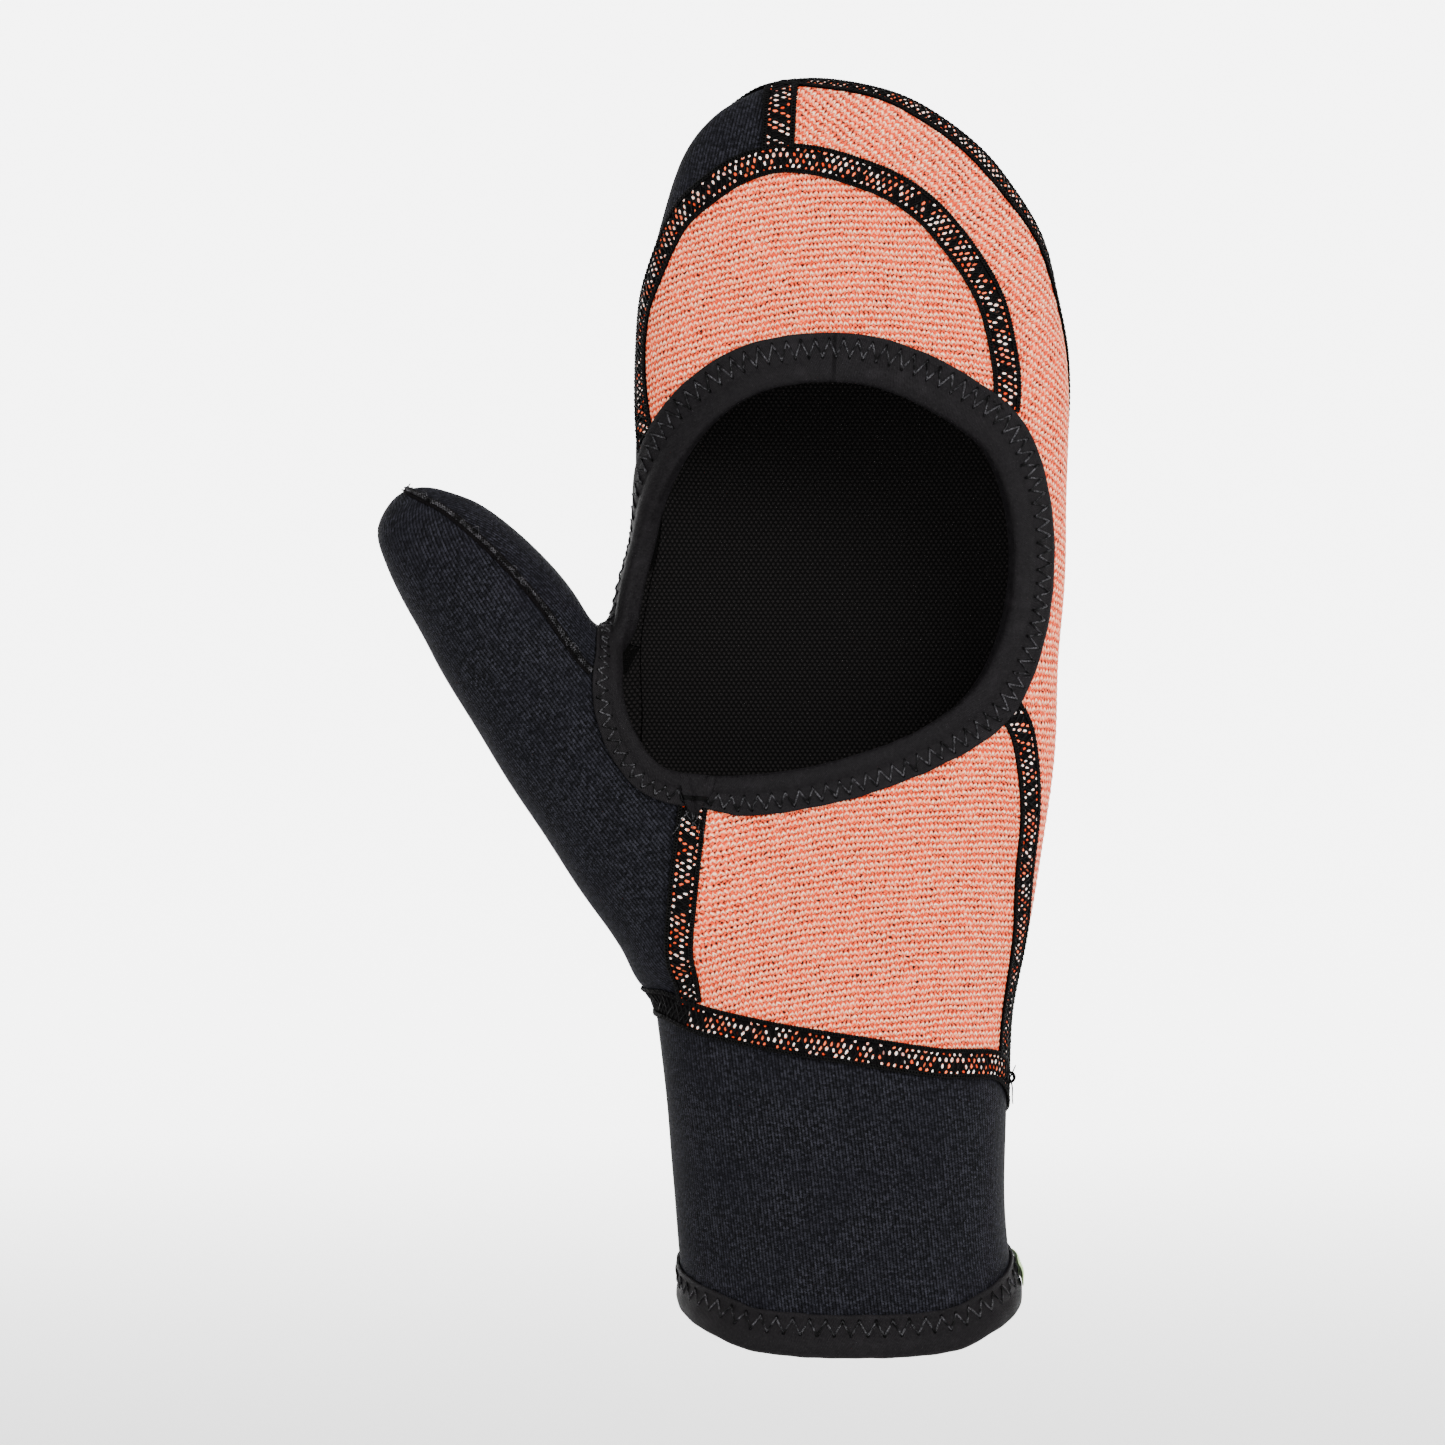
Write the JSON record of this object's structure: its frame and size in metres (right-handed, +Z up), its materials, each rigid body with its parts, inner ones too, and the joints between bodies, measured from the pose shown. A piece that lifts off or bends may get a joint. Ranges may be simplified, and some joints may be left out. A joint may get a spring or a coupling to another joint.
{
  "type": "palmless neoprene mitten",
  "caption": "Left-hand neoprene mitten with an open palm, a closed hood for the fingers, a closed thumb, a jersey cuff, bound edges and flat sewn seams.",
  "frame": {"origin": "middle of the wrist opening, 12 mm inside the hem at the cuff's two sides", "axes": "+Z up towards the fingertips, -Y out of the palm, +X towards the little-finger side; the thumb leans to -X"},
  "size_m": [0.1543, 0.0549, 0.2855],
  "materials": {
    "salmon_knit": "ribbed knit jersey laminated to neoprene",
    "navy_jersey": "fine nylon jersey laminated to neoprene",
    "black_binding": "smooth elastic tape",
    "black_thread": "polyester overlock thread",
    "pale_label": "plain woven tape"
  },
  "bodies": {
    "root": {"finger_palm_panel": "salmon_knit", "index_side_panel": "navy_jersey", "outer_side_panel": "salmon_knit", "palm_heel_panel": "salmon_knit", "back_panel": "salmon_knit", "thumb_outer_panel": "navy_jersey", "thumb_inner_panel": "navy_jersey", "cuff": "navy_jersey", "tip_seam": "black_thread", "split_seam": "black_thread", "back_seam": "black_thread", "side_seam": "black_thread", "heel_seam": "black_thread", "wrist_seam": "black_thread", "thumb_seam": "black_thread", "cuff_seam": "black_thread", "binding_flap": "black_binding", "hem_label": "pale_label", "palm_binding": "black_binding", "hem_binding": "black_binding"}
  },
  "joints": []
}
